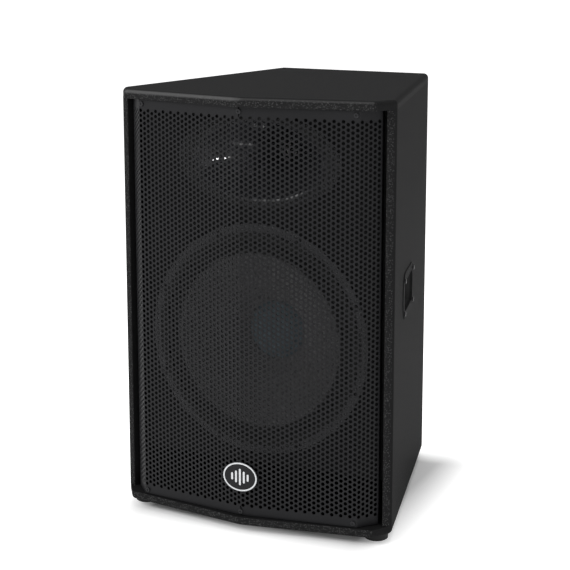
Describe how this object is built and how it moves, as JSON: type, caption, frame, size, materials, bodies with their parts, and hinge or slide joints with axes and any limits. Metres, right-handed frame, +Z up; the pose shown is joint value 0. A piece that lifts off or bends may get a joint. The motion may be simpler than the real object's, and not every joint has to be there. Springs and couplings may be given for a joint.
{
  "type": "pa speaker cabinet",
  "caption": "Passive two-way trapezoidal loudspeaker cabinet with perforated steel grille, horn tweeter, woofer, side handles and pole socket.",
  "frame": {"origin": "centre of the bounding box on the floor plane under the rubber feet", "axes": "+Z up, the grille faces -Y, +X is to the right seen from the front"},
  "size_m": [0.479, 0.49, 0.712],
  "materials": {
    "cabinet_board": "textured black paint",
    "bare_wood": "raw",
    "grille_steel": "satin powder coat",
    "black_screws": "black oxide",
    "badge_black": "gloss",
    "badge_silver": "polished",
    "cast_frame": "black cast",
    "rubber": "matte",
    "treated_cloth": "doped cloth",
    "paper_pulp": "pressed paper",
    "coil_former": "film",
    "copper": "enamelled wire",
    "plated_steel": "zinc plated",
    "ferrite": "sintered",
    "black_plastic": "moulded",
    "diaphragm_film": "thin formed",
    "painted_plate": "black",
    "circuit_board": "solder mask",
    "capacitor_film": "film",
    "ceramic": "ceramic",
    "felt": "recycled fibre",
    "cable_jacket": "smooth"
  },
  "bodies": {
    "cabinet": {"top_panel": "cabinet_board", "bottom_panel": "cabinet_board", "left_side_panel": "cabinet_board", "right_side_panel": "cabinet_board", "rear_panel": "cabinet_board", "front_baffle": "cabinet_board", "port_shelf": "cabinet_board", "grille_cleats": "cabinet_board", "baffle_battens": "bare_wood", "rear_battens": "bare_wood", "window_brace": "bare_wood", "front_grille": "grille_steel", "grille_screws": "black_screws", "handle_screws": "black_screws", "woofer_screws": "black_screws", "horn_screws": "black_screws", "terminal_plate_screws": "black_screws", "base_screws": "black_screws", "driver_bolts": "black_screws", "badge_plate": "badge_black", "badge_ring": "badge_silver", "badge_emblem": "badge_silver", "woofer_basket": "cast_frame", "rubber_feet": "rubber", "woofer_gasket": "rubber", "woofer_surround": "treated_cloth", "woofer_spider": "treated_cloth", "inductor_windings": "copper", "woofer_top_plate": "plated_steel", "woofer_back_plate": "plated_steel", "hf_front_plate": "plated_steel", "hf_top_plate": "plated_steel", "woofer_magnet": "ferrite", "hf_magnet": "ferrite", "horn_flare": "black_plastic", "hf_mount_ring": "black_plastic", "hf_phase_plug": "black_plastic", "hf_rear_cover": "black_plastic", "left_handle_cup": "black_plastic", "right_handle_cup": "black_plastic", "twist_lock_sockets": "black_plastic", "woofer_terminals": "black_plastic", "inductor_bobbins": "black_plastic", "crossover_standoffs": "black_plastic", "pole_cup": "black_plastic", "hf_surround": "diaphragm_film", "terminal_plate": "painted_plate", "crossover_board": "circuit_board", "capacitors": "capacitor_film", "resistors": "ceramic", "damping_felt": "felt", "input_cable": "cable_jacket", "woofer_cable": "cable_jacket", "tweeter_cable": "cable_jacket"},
    "woofer_cone_unit": {"woofer_cone": "paper_pulp", "woofer_dust_cap": "paper_pulp", "voice_coil_former": "coil_former", "voice_coil_winding": "copper"},
    "hf_diaphragm_unit": {"hf_diaphragm": "diaphragm_film"}
  },
  "joints": [
    {"name": "woofer_travel", "type": "slide", "parent": "cabinet", "child": "woofer_cone_unit", "axis": [0, -1, 0], "range_m": [-0.005, 0.005], "stiffness_N_per_m": 7000, "deforming": ["woofer_surround", "woofer_spider"]},
    {"name": "diaphragm_travel", "type": "slide", "parent": "cabinet", "child": "hf_diaphragm_unit", "axis": [0, -1, 0], "range_m": [-0.0004, 0.0004], "stiffness_N_per_m": 300, "deforming": ["hf_surround"]}
  ]
}
